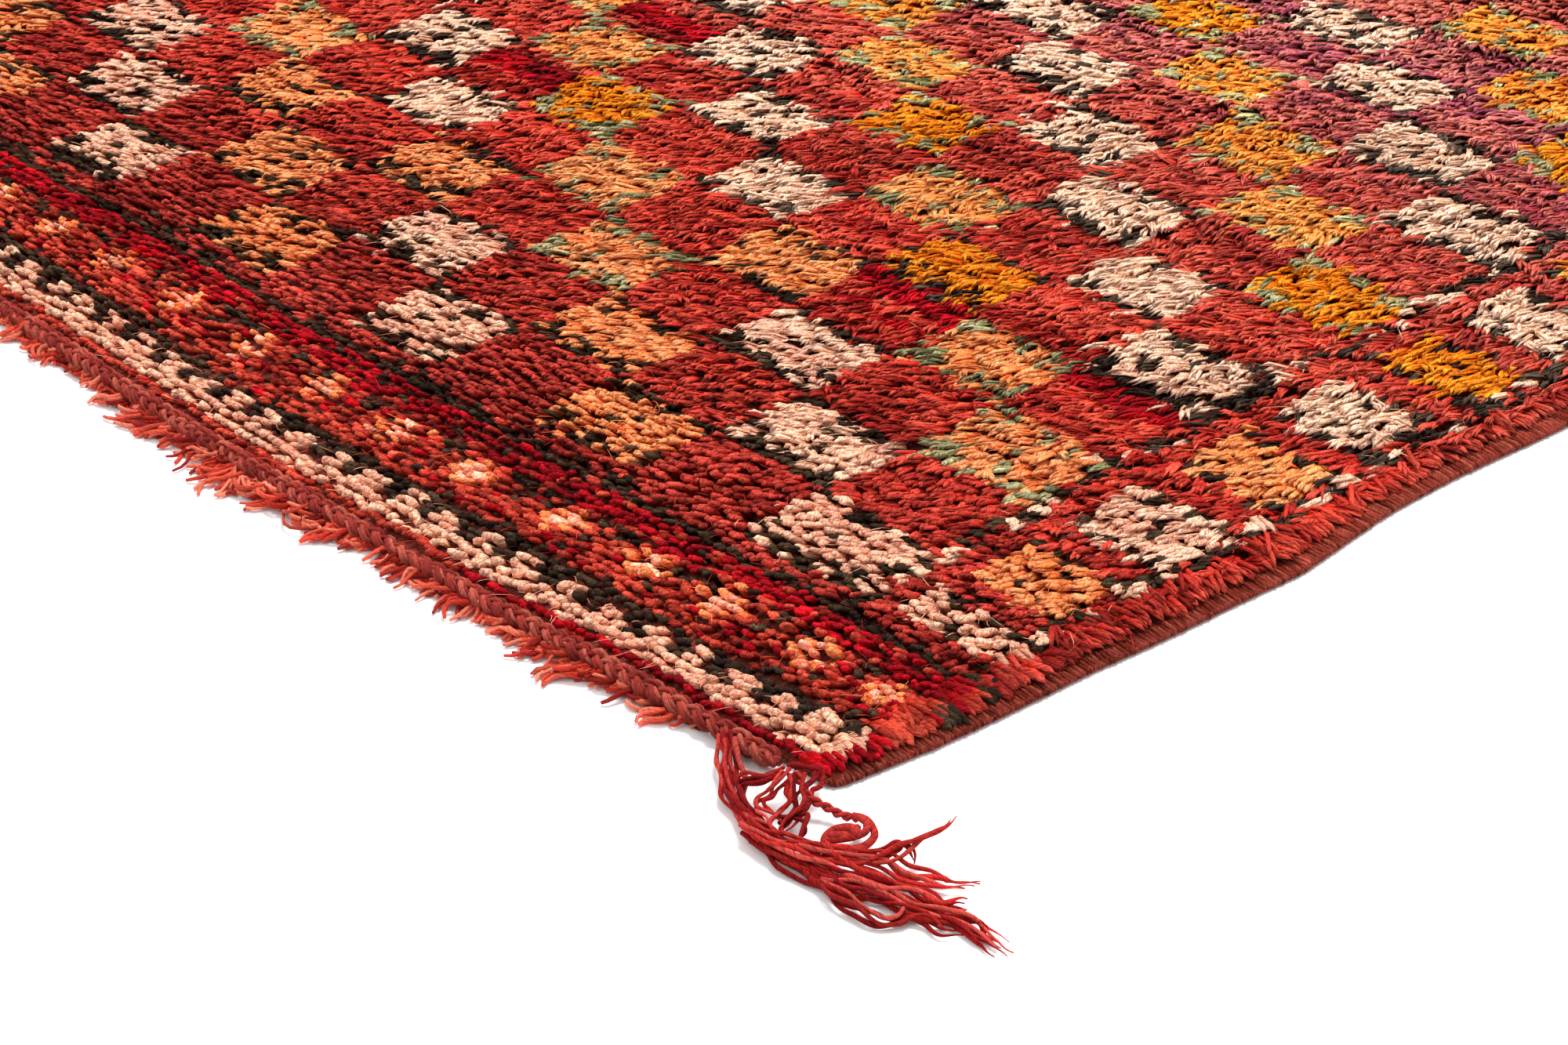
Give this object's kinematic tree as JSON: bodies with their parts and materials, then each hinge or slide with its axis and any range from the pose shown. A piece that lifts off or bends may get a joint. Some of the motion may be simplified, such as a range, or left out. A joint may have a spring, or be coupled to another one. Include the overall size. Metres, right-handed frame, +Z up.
{
  "type": "berber rug",
  "caption": "Hand-knotted wool pile rug with a chequered field, a plaited end cord, a fringe and a corner tassel.",
  "frame": {"origin": "middle of the rug's flat underside, on the floor", "axes": "+Y along the rug, from the plaited end to the far end; +X across it, towards the tassel's side; +Z up, out of the pile"},
  "size_m": [1.3151, 1.8472, 0.017],
  "materials": {
    "pile_wool": "hand-knotted wool pile, matt",
    "cord_wool": "plaited wool, matt",
    "fringe_wool": "loose curly wool, matt",
    "tassel_wool": "loose wool yarn, matt"
  },
  "bodies": {
    "root": {"rug_body": "pile_wool", "end_cord": "cord_wool", "end_fringe": "fringe_wool", "corner_tassel": "tassel_wool", "corner_knot": "tassel_wool"}
  },
  "joints": []
}
